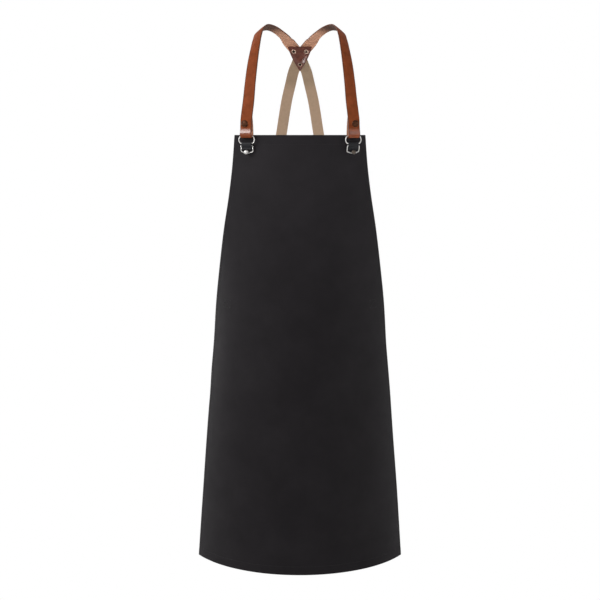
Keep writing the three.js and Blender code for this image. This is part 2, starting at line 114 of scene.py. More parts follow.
# The shoulder strap's folded end, from the tail's tip down behind, round under the ring's bar and up in
# front: how far each place lies in front of the bar and towards the middle. The snap keeps the layers apart.
LAYER_OUT = 3.6
Layer = namedtuple("Layer", "level out inward")
TAIL_ROWS = (Layer(35, -LAYER_OUT, -1.2), Layer(24, -LAYER_OUT, -0.2), Layer(13, -LAYER_OUT, 0.4))
Bend = namedtuple("Bend", "height back front inward")
BEND = Bend(4.2, 4.4, 6.2, 0.3)
FRONT_ROWS = (
    Layer(3, 6.3, 0.3),
    Layer(8, 5, 0.3),
    Layer(14.5, LAYER_OUT, 0.4),
    Layer(30, LAYER_OUT, 1),
    Layer(40, 2.6, 1.8),
)

# The shoulder strap above its clip. heading and lean say where its outer face looks, round from the
# front and up.
Route = namedtuple("Route", "x y rise heading lean")
SHOULDER_ROUTE = (
    Route(101.6, -105, 66, 22, 6),
    Route(98.7, -93, 101, 28, 15.5),
    Route(94.1, -75, 143.5, 36, 25),
    Route(89.5, -55, 175.5, 50, 36),
    Route(86, -35, 196, 60, 41),
    Route(81.4, -15, 210.4, 70, 46),
    Route(71.4, 5, 217.6, 117, 59),
    Route(54.8, 27, 217, 137, 79),
    Route(33.5, 50, 203.8, 200, 74),
)

# The patch hangs in a plane that leans with the upper back. Places on it are across and up from its
# middle, and the straps end behind it.
Patch = namedtuple("Patch", "rise back lean wall half_top top tip belly corner")
PATCH = Patch(163, 94, 34, 2, 26, 26.2, -33.4, 2.2, 3)
Spot = namedtuple("Spot", "across up")
SHOULDER_END = (Spot(23.3, 35), Spot(11.5, 19), Spot(-3.5, -2.5))
BACK_START = (Spot(3, -6.5), Spot(6.5, -17), Spot(13.5, -36))
SEAM_HALF = 0.4
RIVETS = (Spot(-13.1, 15.3), Spot(13.1, 14.8), Spot(0, -15.8))
Rivet = namedtuple("Rivet", "bore barrel rim rim_wall head head_rise")
RIVET = Rivet(2.1, 2.9, 5.2, 1, 4.8, 1.8)

# The back strap below the patch, to its sewn end inside the panel's side at the waist.
BACK_STRAP_WIDTH = 23
BACK_ROUTE = (
    Route(21, 126, 106, 179, 16),
    Route(28.4, 130.5, 75, 178, 5),
    Route(40.6, 132, 1, 176, 0),
    Route(54, 132, -75, 172, 0),
    Route(77, 129, -150, 164, 0),
    Route(108, 119, -216, 150, 0),
    Route(139, 99, -269, 132, 0),
    Route(160, 71, -305, 112, 0),
    Route(169, 36, -327, 95, 0),
    Route(169, 2, -338, 82, 0),
)
WAIST_DROP = 343
SEWN_END = (0.9, 0.84, 0.75)  # across the panel, as a share of half its width
PANEL_WALL = 1.6


def linear(hex_colour):
    """A colour written as sRGB hex, as linear red, green and blue."""
    parts = [int(hex_colour[i:i + 2], 16) / 255 for i in (1, 3, 5)]
    return [part / 12.92 if part <= 0.04045 else ((part + 0.055) / 1.055) ** 2.4 for part in parts]


# Settings


def size_setting(name, description, millimetres):
    return FloatProperty(name=name, description=description, default=millimetres * MM, min=0, unit="LENGTH")


def colour_setting(name, description, hex_colour):
    return FloatVectorProperty(
        name=name, description=description, default=linear(hex_colour), size=3, min=0, max=1,
        subtype="COLOR")


def brightness_setting(name, description, value):
    return FloatProperty(name=name, description=description, default=value, min=0)


def power_setting(name, description, watts):
    return FloatProperty(name=name, description=description, default=watts, min=0, unit="POWER")


class ApronCloth(bpy.types.PropertyGroup):
    wall: size_setting("Cloth", "Thickness of the cloth", 1.2)
    hem_wall: size_setting("Hem layer", "Thickness of the turned-in hem", 1.0)
    hem_end: size_setting("Top and bottom hem", "Width of the hems at the bib's top and the foot", 20)
    hem_side: size_setting("Side hem", "Width of the hems down the sides", 10)
    seam_inset: size_setting("Seam inset", "From the hem's raw edge to its stitches", 2)
    pitch: size_setting("Stitch pitch", "From one stitch to the next", 3.6)
    stitch: size_setting("Stitch length", "Length of thread that shows", 2.7)
    thread: size_setting("Thread", "Thickness of the sewing thread", 0.5)
    ripple: size_setting("Ripple", "How far the cloth strays from its smooth curve", 0.5)
    edge: size_setting("Edge rounding", "Radius of the cloth's folded edges", 0.35)
    hem_edge: size_setting("Hem rounding", "Radius of the hem's raw edges", 0.3)
    black: colour_setting("Black", "Dye of the cloth", "#211e21")
    bloom: colour_setting("Wax bloom", "Where the wax has dulled", "#282528")
    thread_black: colour_setting("Thread", "Dye of the sewing thread", "#1d1b1d")


class ApronStraps(bpy.types.PropertyGroup):
    crown: size_setting("Crown", "How far a leather strap's edges fall back from its middle", 0.9)
    edge: size_setting("Edge rounding", "Radius of the burnished edges", 0.45)
    selvedge: size_setting("Selvedge", "Rounding of the webbing's edges", 0.7)
    patch_edge: size_setting("Patch edge", "Rounding of the patch's edges", 0.6)
    tab_edge: size_setting("Tab edge", "Rounding of the tabs' edges", 0.25)
    tan: colour_setting("Tan", "Grain side of the straps", "#9a4e2c")
    tan_dark: colour_setting("Dark tan", "Pull-up and handling marks on the grain", "#7f4123")
    flesh: colour_setting("Flesh", "Unfinished inner side of the straps", "#e8b495")
    # Burnish is also the colour of the flesh side's painted shade at the top of the shoulder.
    burnish_and_shade: colour_setting("Burnish", "Rubbed and waxed edges", "#4b2c1e")
    webbing: colour_setting("Webbing", "Cotton of the back straps", "#dabb9e")
    webbing_shade: colour_setting("Webbing shade", "Between the threads", "#bd9f84")
    # Painted shade: the colour of the patch's painted shadow on the back straps.
    rub_and_shade: colour_setting("Shaded webbing", "Painted shadow of the patch on the webbing", "#8d7a60")
    patch: colour_setting("Patch", "Waxed leather of the patch", "#794030")
    patch_dark: colour_setting("Patch shade", "Darker pull in the patch's leather", "#54281d")
    tab: colour_setting("Tab", "Leather of the link tabs", "#1a1b1f")


class ApronMetal(bpy.types.PropertyGroup):
    nickel: colour_setting("Nickel", "Plating of the rings, loops and studs", "#f4f2f0")
    nickel_dull: colour_setting("Dull nickel", "Finger marks on the plating", "#cfccc8")
    # Painted shade: a darker copy of the nickel for the right stud, standing in for the shade on that side.
    shaded: colour_setting("Shaded nickel", "Painted shade on the right stud's plating", "#7d746a")
    brass: colour_setting("Brass", "Antiqued caps of the snaps", "#5e3c2b")
    copper: colour_setting("Copper", "Dulled plate of the rivets", "#dcbfae")
    patina: colour_setting("Patina", "Dark film in the hollows of the rivets and snaps", "#2b201b")


class ApronStage(bpy.types.PropertyGroup):
    floor_level: FloatProperty(
        name="Floor", description="Height of the floor", default=-2.2, unit="LENGTH")
    key: power_setting("Key light", "Large soft light at the left", 42)
    fill: power_setting("Fill light", "Wide, weaker light at the front right", 18)
    front: power_setting("Front light", "Gridded light above the camera, on the straps", 0.12)
    low: power_setting("Low light", "Gridded light below the camera, on the patch", 0.12)
    gleam: power_setting("Gleam", "Gridded light low on the right, for the patch's shine", 0.2)
    rim: power_setting("Rim light", "Gridded light behind on the left, on the cloth's edge", 1.3)
    front_wall: brightness_setting("Front wall", "Light from the wall behind the camera", 0.2)
    back_wall: brightness_setting("Back wall", "Light from the wall behind the apron", 0.45)
    left_mirrored: brightness_setting("Mirrored left", "Brightness of the left in reflections", 3.1)
    right_mirrored: brightness_setting("Mirrored right", "Brightness of the right in reflections", 1.8)
    paper: colour_setting("Paper", "Floor and walls", "#f7f6f5")


# Shape tables


def smooth_table(places, rows):
    """A function of the place along a table that gives smooth values between its rows.

    The slope at each row is the mean of the slopes to the rows on either side.
    """
    steps = [after - before for before, after in zip(places, places[1:])]
    chords = [
        [(high - low) / step for low, high in zip(before, after)]
        for before, after, step in zip(rows, rows[1:], steps)
    ]
    slopes = [
        [(low + high) / 2 for low, high in zip(before, after)]
        for before, after in zip([chords[0], *chords], [*chords, chords[-1]])
    ]

    def at(place):
        i = min(max(bisect_right(places, place) - 1, 0), len(steps) - 1)
        t = (place - places[i]) / steps[i]
        blend = t * t * (3 - 2 * t)
        leaving = t * (1 - t) ** 2 * steps[i]
        arriving = t * t * (t - 1) * steps[i]
        return [
            low + (high - low) * blend + out * leaving + into * arriving
            for low, high, out, into in zip(rows[i], rows[i + 1], slopes[i], slopes[i + 1])
        ]

    return at


def bell(distance, reach):
    return math.exp(-((distance / reach) ** 2))


def distances_along(points):
    """How far along a line each of its points is."""
    places = [0]
    for before, after in zip(points, points[1:]):
        places.append(places[-1] + math.dist(before, after))
    return places


section_at = smooth_table([row.drop for row in PANEL_SECTIONS], [row[1:] for row in PANEL_SECTIONS])


def section_arc(drop):
    """Half the cloth's width at a level, measured round the curve."""
    half_width, wrap, _ = section_at(drop)
    turn = math.radians(wrap)
    return half_width * turn / math.sin(turn)


FOLD_MIDDLES = [fold.across * section_arc(fold.drop) for fold in PANEL_FOLDS]


def fold_rise(along, drop):
    total = 0
    for fold, middle in zip(PANEL_FOLDS, FOLD_MIDDLES):
        slant = math.radians(fold.slant)
        dx = along - middle
        dz = drop - fold.drop
        lengthwise = dz * math.cos(slant) + dx * math.sin(slant)
        crosswise = dx * math.cos(slant) - dz * math.sin(slant)
        total += fold.rise * bell(lengthwise, fold.reach) * bell(crosswise, fold.half_width)
    return total


def panel_point(across, drop, depth=0.0):
    """A point of the panel, in metres: across is -1 to 1 between its sides, depth goes into the cloth."""
    half_width, wrap, bulge = section_at(drop)
    bend = half_width / math.sin(math.radians(wrap))
    turn = across * math.radians(wrap)
    reach = bend + fold_rise(across * section_arc(drop), drop) - depth
    out = bend - CHEST_OUT - bulge - reach * math.cos(turn)
    return Vector((reach * math.sin(turn), out, BIB_TOP - drop)) * MM


def panel_out(across, drop):
    """The way straight out of the panel."""
    turn = across * math.radians(section_at(drop)[1])
    return Vector((math.sin(turn), -math.cos(turn), 0))


CLIP_TURN = math.radians(CLIP_ACROSS * PANEL_SECTIONS[0].wrap)


def clip_frame(side):
    """The clip's own frame: on the panel's face at the bib's top edge, -Y straight out of the cloth."""
    place = Matrix.Translation(panel_point(side * CLIP_ACROSS, 0))
    return place @ Matrix.Rotation(side * CLIP_TURN, 4, "Z")


def patch_frame():
    """The patch's own frame: its front face looks along -Y, and Z runs up the patch."""
    place = Matrix.Translation(Vector((0, PATCH.back, PATCH.rise + BIB_TOP)) * MM)
    return place @ Matrix.Rotation(math.radians(PATCH.lean), 4, "X")


# Straps, as rows of a place, the way that the face looks, and a width

Row = namedtuple("Row", "point heading lean width")
Station = namedtuple("Station", "point along face width run")


def fold_rows(side):
    """The shoulder strap's folded end."""
    clip = clip_frame(side)
    heading = math.degrees(CLIP_TURN)
    bend_level = RING.top_level - RING.wire / 2 - GAP - STRAP_WALL / 2 + BEND.height

    def row(layer, lean):
        spot = clip @ (Vector((-side * layer.inward, -BAR_OUT - layer.out, layer.level)) * MM)
        return Row(spot, heading, lean, STRAP_WIDTH * MM)

    rows = [row(layer, -180) for layer in TAIL_ROWS]
    for lean in range(-180, 1, 30):
        turn = math.radians(lean)
        reach = BEND.back if lean < -90 else BEND.front
        level = bend_level + BEND.height * math.sin(turn)
        rows.append(row(Layer(level, reach * math.cos(turn), BEND.inward), lean))
    return rows + [row(layer, 0) for layer in FRONT_ROWS]


def route_rows(route, side, width):
    rows = []
    for place in route:
        point = Vector((side * place.x, place.y, place.rise + BIB_TOP)) * MM
        rows.append(Row(point, place.heading, place.lean, width * MM))
    return rows


def patch_rows(spots, side, width, layer):
    """A strap's end behind the patch, so many layers behind it."""
    behind = GAP + STRAP_WALL / 2 + layer * (STRAP_WALL + GAP)
    turn = patch_frame()
    return [
        Row(turn @ (Vector((side * spot.across, behind, spot.up)) * MM), 180, PATCH.lean, width * MM)
        for spot in spots
    ]


def sewn_rows(side):
    """The back strap's end, flat inside the panel's side."""
    wrap = section_at(WAIST_DROP)[1]
    inside = PANEL_WALL + GAP + STRAP_WALL / 2
    return [
        Row(panel_point(side * across, WAIST_DROP, inside), across * wrap, 0, BACK_STRAP_WIDTH * MM)
        for across in SEWN_END
    ]


def strap_stations(rows, side, step):
    """Even steps along a strap: its middle, the way along, the way its face looks, width and run."""
    places = distances_along([row.point for row in rows])
    at = smooth_table(places, [(*row.point, row.heading, row.lean, row.width) for row in rows])
    count = round(places[-1] / (step * MM))
    values = [at(places[-1] * i / count) for i in range(count + 1)]
    points = [Vector(value[:3]) for value in values]
    stations = []
    run = 0
    for i, (point, value) in enumerate(zip(points, values)):
        along = (points[min(i + 1, count)] - points[max(i - 1, 0)]).normalized()
        heading, lean = (math.radians(angle) for angle in value[3:5])
        level = math.cos(lean)
        face = Vector((side * math.sin(heading) * level, -math.cos(heading) * level, math.sin(lean)))
        face = (face - along * face.dot(along)).normalized()
        run += (point - points[max(i - 1, 0)]).length
        stations.append(Station(point, along, face, value[5], run))
    return stations


# Modelling tools


def pick(piece):
    """Makes a piece the only selected one, and the active one."""
    bpy.ops.object.select_all(action="DESELECT")
    piece.select_set(True)
    bpy.context.view_layer.objects.active = piece


def finish_with(piece, kind, **settings):
    """Adds a modifier to a piece and applies it."""
    bpy.context.view_layer.objects.active = piece
    bpy.ops.object.modifier_add(type=kind)
    modifier = piece.modifiers[-1]
    for name, value in settings.items():
        setattr(modifier, name, value)
    bpy.ops.object.modifier_apply(modifier=modifier.name)


def round_edges(piece, width, segments, sharper_than=55):
    """Rounds the edges that turn by more than an angle in degrees."""
    finish_with(
        piece, "BEVEL", width=width, segments=segments, limit_method="ANGLE",
        angle_limit=math.radians(sharper_than))


def edit(piece):
    """Opens one piece in edit mode with all of it selected."""
    pick(piece)
    bpy.ops.object.mode_set(mode="EDIT")
    bpy.ops.mesh.select_all(action="SELECT")


def done():
    bpy.ops.object.mode_set(mode="OBJECT")


def smooth(piece, angle=50):
    """Shades a piece smooth where it turns by less than an angle in degrees."""
    pick(piece)
    bpy.ops.object.shade_smooth_by_angle(angle=math.radians(angle))


def settle(piece, matrix):
    """Moves a piece by a matrix and puts its place into its mesh."""
    pick(piece)
    piece.matrix_world = matrix @ piece.matrix_world
    bpy.ops.object.transform_apply(location=True, rotation=True, scale=True)


def copy_of(piece):
    pick(piece)
    bpy.ops.object.duplicate(linked=False)
    return bpy.context.object


def join(pieces):
    """Joins pieces into the first of them."""
    pick(pieces[0])
    for piece in pieces:
        piece.select_set(True)
    bpy.ops.object.join()
    return pieces[0]


def sheet(columns, rows, place, materials):
    """A primitive grid laid where place(u, v) says, u and v from 0 to 1.

    place also gives each point's spot on the flat cut, in metres, which becomes the UV map.
    """
    bpy.ops.mesh.primitive_grid_add(x_subdivisions=columns, y_subdivisions=rows, size=2)
    piece = bpy.context.object
    for material in materials:
        piece.data.materials.append(material)
    spots = []
    for vertex in piece.data.vertices:
        vertex.co, spot = place((vertex.co.x + 1) / 2, (vertex.co.y + 1) / 2)
        spots.append(spot)
    flat_cut = piece.data.uv_layers.active
    flat_cut.name = "flat_cut"
    for loop in piece.data.loops:
        flat_cut.data[loop.index].uv = spots[loop.vertex_index]
    return piece


def turned(profile, material, sides=40):
    """A body turned round Y: one point extruded along a profile of (radius, y) pairs, then spun."""
    radius, y = profile[0]
    bpy.ops.mesh.primitive_plane_add(size=MM, location=(radius * MM, y * MM, 0))
    piece = bpy.context.object
    edit(piece)
    bpy.ops.mesh.merge(type="CENTER")
    for (radius, y), (next_radius, next_y) in zip(profile, profile[1:]):
        step = ((next_radius - radius) * MM, (next_y - y) * MM, 0)
        bpy.ops.mesh.extrude_region_move(TRANSFORM_OT_translate={"value": step})
    bpy.ops.mesh.select_all(action="SELECT")
    bpy.ops.mesh.spin(steps=sides, angle=2 * math.pi, center=(0, 0, 0), axis=(0, 1, 0))
    bpy.ops.mesh.select_all(action="SELECT")
    bpy.ops.mesh.remove_doubles(threshold=0.01 * MM)
    bpy.ops.mesh.normals_make_consistent(inside=False)
    done()
    piece.data.materials.append(material)
    settle(piece, Matrix.Identity(4))
    smooth(piece, 40)
    return piece


def bent_wire(corners, corner_cut, thickness, material):
    """Round wire through corners in the XZ plane: an outline, its corners rounded, given thickness."""
    bpy.ops.mesh.primitive_circle_add(vertices=len(corners), radius=thickness * MM)
    piece = bpy.context.object
    for vertex, (x, z) in zip(piece.data.vertices, corners):
        vertex.co = (x * MM, 0, z * MM)
    edit(piece)
    bpy.ops.mesh.bevel(offset=corner_cut * MM, segments=6, affect="VERTICES")
    done()
    bpy.ops.object.convert(target="CURVE")
    piece = bpy.context.object
    piece.data.bevel_depth = thickness / 2 * MM
    piece.data.bevel_resolution = 4
    bpy.ops.object.convert(target="MESH")
    piece = bpy.context.object
    piece.data.materials.clear()
    piece.data.materials.append(material)
    smooth(piece, 60)
    return piece


def strap_sheet(stations, crown, materials):
    """A strap as a sheet along its stations, its edges fallen back by the crown where it isn't folded."""
    columns = 10
    flat_run = 80 * MM
    crowned_run = 120 * MM

    def place(u, v):
        station = stations[round(v * (len(stations) - 1))]
        reach = 2 * u - 1
        across = station.along.cross(station.face) * (reach * station.width / 2)
        share = min(max((station.run - flat_run) / (crowned_run - flat_run), 0), 1)
        fall = crown * share * (reach * reach - 1 / 3)
        return station.point + across - station.face * fall, (reach * station.width / 2, station.run)

    return sheet(columns, len(stations) - 1, place, materials)


def trim_at_seam(piece, side):
    """Cuts a strap's end off at the middle of the back."""
    edit(piece)
    bpy.ops.mesh.bisect(
        plane_co=(side * SEAM_HALF * MM, 0, 0), plane_no=(-side, 0, 0), clear_outer=True)
    done()


def pin_hole(piece, radius, matrix):
    """Cuts a round hole along the matrix's Y through a piece that is in its place."""
    long_enough = 40
    bpy.ops.mesh.primitive_cylinder_add(
        vertices=32, radius=radius * MM, depth=long_enough * MM, rotation=(math.pi / 2, 0, 0))
    cutter = bpy.context.object
    settle(cutter, matrix)
    finish_with(piece, "BOOLEAN", operation="DIFFERENCE", solver="MANIFOLD", object=cutter)
    bpy.data.objects.remove(cutter)


def rivet_frame(spot):
    """The frame of a rivet: in the patch's front face, with Y through the leather."""
    return patch_frame() @ Matrix.Translation(Vector((spot.across, 0, spot.up)) * MM)


def rivet_hole(piece, spot):
    pin_hole(piece, RIVET.barrel, rivet_frame(spot))


def stitches(runs, length, thickness, material):
    """One mesh of short threads, each bowed out of the cloth. A run is a list of (place, out) pairs.

    A thread's rings give their share of its length, their swell, and their lift in half thicknesses.
    """
    rings = ((-0.5, 0.55, -0.8), (-0.3, 0.95, 0.25), (0, 1, 0.55), (0.3, 0.95, 0.25), (0.5, 0.55, -0.8))
    sides = 6
    points = []
    faces = []
    for run in runs:
        for i, (place, out) in enumerate(run):
            along = (run[min(i + 1, len(run) - 1)][0] - run[max(i - 1, 0)][0]).normalized()
            across = along.cross(out)
            start = len(points)
            for share, swell, lift in rings:
                middle = place + along * (share * length) + out * (lift * thickness / 2)
                for k in range(sides):
                    turn = 2 * math.pi * k / sides
                    way = across * math.cos(turn) + out * math.sin(turn)
                    points.append(middle + way * (swell * thickness / 2))
            for ring in range(len(rings) - 1):
                for k in range(sides):
                    low = start + ring * sides
                    after = (k + 1) % sides
                    faces.append((low + k, low + sides + k, low + sides + after, low + after))
            last = start + (len(rings) - 1) * sides
            faces.append([start + k for k in range(sides)])
            faces.append([last + k for k in reversed(range(sides))])
    mesh = bpy.data.meshes.new("stitches")
    mesh.from_pydata(points, [], faces)
    piece = bpy.data.objects.new("stitches", mesh)
    bpy.context.scene.collection.objects.link(piece)
    edit(piece)
    bpy.ops.mesh.normals_make_consistent(inside=False)
    done()
    mesh.materials.append(material)
    smooth(piece, 60)
    return piece


def dress(piece, name, slot, *nodes):
    """Names a finished piece, hangs it on the body, and hides the solids that it stands for. slot is not
    used.
    """
    piece.name = name
    piece.data.name = name
    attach(piece, BODY)
    if nodes:
        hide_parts(*nodes)


# Materials


def add_node(tree, kind, inputs, **settings):
    """Adds a node with its settings. An input is a value, a socket to link from, or a node, which is
    linked by the first of its outputs that is in use."""
    made = tree.nodes.new(kind)
    for name, value in settings.items():
        setattr(made, name, value)
    for key, value in inputs.items():
        if isinstance(value, bpy.types.Node):
            value = next(output for output in value.outputs if output.enabled)
        if isinstance(value, bpy.types.NodeSocket):
            tree.links.new(value, made.inputs[key])
        else:
            made.inputs[key].default_value = value
    return made


def start_material(name, flat=False):
    """A material, begun afresh, its node tree, and where a point is: on the piece, or on its flat cut."""
    material = bpy.data.materials.get(name) or bpy.data.materials.new(name)
    material.use_nodes = True
    tree = material.node_tree
    tree.nodes.clear()
    if flat:
        return material, tree, add_node(tree, "ShaderNodeUVMap", {}, uv_map="flat_cut")
    return material, tree, add_node(tree, "ShaderNodeTexCoord", {}).outputs["Object"]


def finish_material(material, **sockets):
    """Ends a material with its shader. A socket is given its constant, or the node that feeds it."""
    tree = material.node_tree
    inputs = {socket.replace("_", " "): value for socket, value in sockets.items()}
    shader = add_node(tree, "ShaderNodeBsdfPrincipled", inputs)
    add_node(tree, "ShaderNodeOutputMaterial", {"Surface": shader})
    return material


def opaque(colour):
    return (*colour, 1)


def per_metre(millimetres):
    """The scale of a noise pattern whose features are so many millimetres wide."""
    return 1 / (millimetres * MM)


def bands(millimetres):
    """The scale of a wave pattern whose bands are so many millimetres apart, or more on a diagonal."""
    bands_per_turn = 20  # at scale 1 Blender draws this many in 2 pi metres
    return 2 * math.pi / (bands_per_turn * millimetres * MM)


def mottled(tree, pattern, low, high, first, second, least=0, most=1):
    """Two colours by a pattern: least of the second where the pattern is low, and most where it is high.

    Where there is no second colour, the first is given as a constant.
    """
    if second is None:
        return opaque(first)
    share = add_node(
        tree, "ShaderNodeMapRange",
        {"Value": pattern, "From Min": low, "From Max": high, "To Min": least, "To Max": most})
    return add_node(
        tree, "ShaderNodeMix", {0: share, 6: opaque(first), 7: opaque(second)}, data_type="RGBA")


def fading(tree, place, middle, near, far, at_near, at_far):
    """A share that changes smoothly on the way from a near to a far distance from the middle, which are in
    millimetres on the flat cut."""
    away = add_node(tree, "ShaderNodeMath", {0: place, 1: middle * MM}, operation="SUBTRACT")
    distance = add_node(tree, "ShaderNodeMath", {0: away}, operation="ABSOLUTE")
    return add_node(
        tree, "ShaderNodeMapRange",
        {"Value": distance, "From Min": near * MM, "From Max": far * MM,
         "To Min": at_near, "To Max": at_far},
        interpolation_type="SMOOTHSTEP")


def waxed_twill(cloth):
    """Cotton twill proofed with wax: near black and smooth, dull, with a faint bloom where it flexed
    and fine slanting wales that only show close up."""
    material, tree, flat = start_material("waxed cotton twill", flat=True)
    cloud = add_node(
        tree, "ShaderNodeTexNoise", {"Vector": flat, "Scale": per_metre(90), "Detail": 5, "Roughness": 0.6})
    handling = add_node(tree, "ShaderNodeTexNoise", {"Vector": flat, "Scale": per_metre(25), "Detail": 4})
    wales = add_node(
        tree, "ShaderNodeTexWave",
        {"Vector": flat, "Scale": bands(1.2), "Distortion": 0.4, "Detail": 1, "Detail Scale": 2},
        bands_direction="DIAGONAL").outputs["Fac"]
    return finish_material(
        material, Specular_IOR_Level=0.15, Sheen_Weight=0.05, Sheen_Roughness=0.4,
        Base_Color=mottled(tree, cloud, 0.35, 0.7, cloth.black, cloth.bloom),
        Roughness=add_node(tree, "ShaderNodeMapRange", {"Value": handling, "To Min": 0.5, "To Max": 0.66}),
        Normal=add_node(tree, "ShaderNodeBump", {"Strength": 0.25, "Distance": 0.2 * MM, "Height": wales}))


def tan_grain(straps):
    """Vegetable-tanned leather, grain side: warm tan, mottled by handling, dull on fine pebbled grain,
    shiny where the fold at the ring stretches it, and darker where the edges are burnished."""
    fold_run = 56  # along the strap, from its tail's tip to the front of the fold
    fold_reach = 10
    rub_start = 9.8  # from the strap's middle
    material, tree, flat = start_material("vegetable-tanned grain", flat=True)
    spot = add_node(tree, "ShaderNodeSeparateXYZ", {"Vector": flat}).outputs
    mottle = add_node(
        tree, "ShaderNodeTexNoise", {"Vector": flat, "Scale": per_metre(14), "Detail": 6, "Roughness": 0.65})
    body = mottled(tree, mottle, 0.35, 0.72, straps.tan, straps.tan_dark)
    rub_and_shade = fading(tree, spot["X"], 0, rub_start, STRAP_WIDTH / 2, at_near=0, at_far=0.8)
    pebbles = add_node(tree, "ShaderNodeTexVoronoi", {"Vector": flat, "Scale": per_metre(0.9)})
    return finish_material(
        material, Specular_IOR_Level=0.06, Coat_Roughness=0.16, Coat_IOR=1.7,
        Base_Color=add_node(
            tree, "ShaderNodeMix", {0: rub_and_shade, 6: body, 7: opaque(straps.burnish_and_shade)}, data_type="RGBA"),
        Roughness=add_node(tree, "ShaderNodeMapRange", {"Value": mottle, "To Min": 0.5, "To Max": 0.68}),
        Coat_Weight=fading(tree, spot["Y"], fold_run, 0, fold_reach, at_near=1, at_far=0),
        Normal=add_node(tree, "ShaderNodeBump", {"Strength": 0.2, "Distance": 0.12 * MM, "Height": pebbles}))


def flesh_side(straps):
    """The inner side of the same leather: paler, matt and fibrous, with a faint nap, and darker round
    the top of the shoulder, which is painted shade where the strap faces down."""
    shoulder_run = 303  # along the strap, from its tail's tip to its highest place
    apex_shade_reach = 36
    unshaded_reach = 72
    material, tree, flat = start_material("leather flesh side", flat=True)
    run = add_node(tree, "ShaderNodeSeparateXYZ", {"Vector": flat}).outputs["Y"]
    stretch = add_node(tree, "ShaderNodeMapping", {"Vector": flat, "Scale": (1, 0.35, 1)})
    fibres = add_node(
        tree, "ShaderNodeTexNoise",
        {"Vector": stretch, "Scale": per_metre(2.2), "Detail": 6, "Roughness": 0.7})
    body = mottled(tree, fibres, 0.3, 0.75, straps.flesh, straps.tan, most=0.55)
    # Painted shade: the flesh side darkens towards the burnish colour round the top of the shoulder, where
    # it faces down.
    painted_apex_shade = fading(tree, run, shoulder_run, apex_shade_reach, unshaded_reach, at_near=0.95, at_far=0)
    return finish_material(
        material, Specular_IOR_Level=0.2, Roughness=0.82, Sheen_Weight=0.1, Sheen_Roughness=0.5,
        Base_Color=add_node(
            tree, "ShaderNodeMix", {0: painted_apex_shade, 6: body, 7: opaque(straps.burnish_and_shade)}, data_type="RGBA"),
        Normal=add_node(tree, "ShaderNodeBump", {"Strength": 0.35, "Distance": 0.2 * MM, "Height": fibres}))


def burnished_edge(straps):
    """Cut leather edges burnished with wax: dark brown with a low shine and streaks along the cut."""
    material, tree, place = start_material("burnished leather edge")
    streaks = add_node(tree, "ShaderNodeTexNoise", {"Vector": place, "Scale": per_metre(3), "Detail": 4})
    return finish_material(
        material, Specular_IOR_Level=0.25, Roughness=0.45,
        Base_Color=mottled(tree, streaks, 0, 1, straps.burnish_and_shade, straps.tan_dark))


def cotton_webbing(straps):
    """Undyed cotton webbing in a close plain weave: matt beige, ribbed across, lines of warp along, and
    darker next to the patch, which is painted shade standing in for the patch's shadow."""
    shadow_run = 48  # along the strap, from its end behind the patch
    unshaded_run = 78
    material, tree, flat = start_material("cotton webbing", flat=True)
    run = add_node(tree, "ShaderNodeSeparateXYZ", {"Vector": flat}).outputs["Y"]
    ribs = add_node(
        tree, "ShaderNodeTexWave", {"Vector": flat, "Scale": bands(1.4), "Distortion": 0.6, "Detail": 2},
        bands_direction="Y").outputs["Fac"]
    warp = add_node(
        tree, "ShaderNodeTexWave", {"Vector": flat, "Scale": bands(1.1), "Distortion": 0.3},
        bands_direction="X").outputs["Fac"]
    weave = add_node(tree, "ShaderNodeMath", {0: ribs, 1: warp}, operation="MULTIPLY")
    slubs = add_node(tree, "ShaderNodeTexNoise", {"Vector": flat, "Scale": per_metre(6), "Detail": 5})
    depth = add_node(tree, "ShaderNodeMath", {0: weave, 1: slubs}, operation="ADD")
    body = mottled(tree, depth, 0.3, 1.1, straps.webbing_shade, straps.webbing, least=0.3, most=0.9)
    # Painted shade: the webbing turns to a darker olive beige near the patch, standing in for the patch's
    # shadow.
    painted_patch_shadow = fading(tree, run, 0, shadow_run, unshaded_run, at_near=0.5, at_far=0)
    return finish_material(
        material, IOR=1.45, Roughness=0.88, Sheen_Weight=0.25, Sheen_Roughness=0.5,
        Base_Color=add_node(
            tree, "ShaderNodeMix", {0: painted_patch_shadow, 6: body, 7: opaque(straps.rub_and_shade)}, data_type="RGBA"),
        Normal=add_node(tree, "ShaderNodeBump", {"Strength": 0.5, "Distance": 0.25 * MM, "Height": weave}))


def waxed_leather(name, light, dark=None, shine=0):
    """Close-grained leather: dark, finely pebbled, unevenly dull, mottled if it has two colours, and with
    a coat of wax, from none at a shine of 0 to a full one at 1."""
    material, tree, place = start_material(name)
    mottle = add_node(
        tree, "ShaderNodeTexNoise", {"Vector": place, "Scale": per_metre(9), "Detail": 6, "Roughness": 0.6})
    pebbles = add_node(tree, "ShaderNodeTexVoronoi", {"Vector": place, "Scale": per_metre(0.8)})
    return finish_material(
        material, Specular_IOR_Level=0.3, Coat_Weight=shine, Coat_Roughness=0.3,
        Base_Color=mottled(tree, mottle, 0.35, 0.7, light, dark),
        Roughness=add_node(tree, "ShaderNodeMapRange", {"Value": mottle, "To Min": 0.4, "To Max": 0.6}),
        Normal=add_node(tree, "ShaderNodeBump", {"Strength": 0.22, "Distance": 0.1 * MM, "Height": pebbles}))


def plated_metal(name, bright, dull=None, roughness=0.34):
    """Plated wire and turned metal: polished, with cloudy finger marks that dull the reflection."""
    material, tree, place = start_material(name)
    marks = add_node(
        tree, "ShaderNodeTexNoise", {"Vector": place, "Scale": per_metre(4), "Detail": 5, "Roughness": 0.6})
    return finish_material(
        material, Metallic=1, Base_Color=mottled(tree, marks, 0.4, 0.75, bright, dull),
        Roughness=add_node(
            tree, "ShaderNodeMapRange", {"Value": marks, "To Min": roughness, "To Max": roughness + 0.2}))


